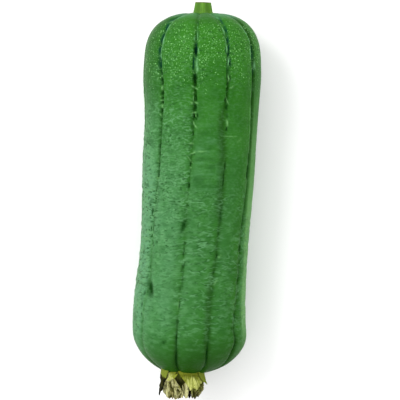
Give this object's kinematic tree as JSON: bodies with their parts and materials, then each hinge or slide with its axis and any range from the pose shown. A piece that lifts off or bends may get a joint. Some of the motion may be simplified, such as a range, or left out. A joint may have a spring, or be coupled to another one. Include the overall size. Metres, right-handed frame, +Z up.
{
  "type": "smooth ridge gourd",
  "caption": "Short, blunt green sponge gourd as picked, with shallow lengthwise lobes, a cut stalk and the withered flower still on its end, lying on its side.",
  "frame": {"origin": "on the surface that the gourd lies on, under the middle of the fruit's length", "axes": "+Y along the fruit towards its stalk, +Z up, +X to the right seen from above with the stalk away from the viewer"},
  "size_m": [0.0823, 0.2533, 0.0751],
  "materials": {
    "skin": "satin, waxy, with a pale bloom and speckles",
    "stalk": "matte green stalk with a dry, cut end",
    "calyx": "matte, drying from yellow-green to dark brown tips",
    "petals": "matte, withered and creased"
  },
  "bodies": {
    "root": {"fruit": "skin", "stalk": "stalk", "calyx": "calyx", "withered_petals": "petals"}
  },
  "joints": []
}
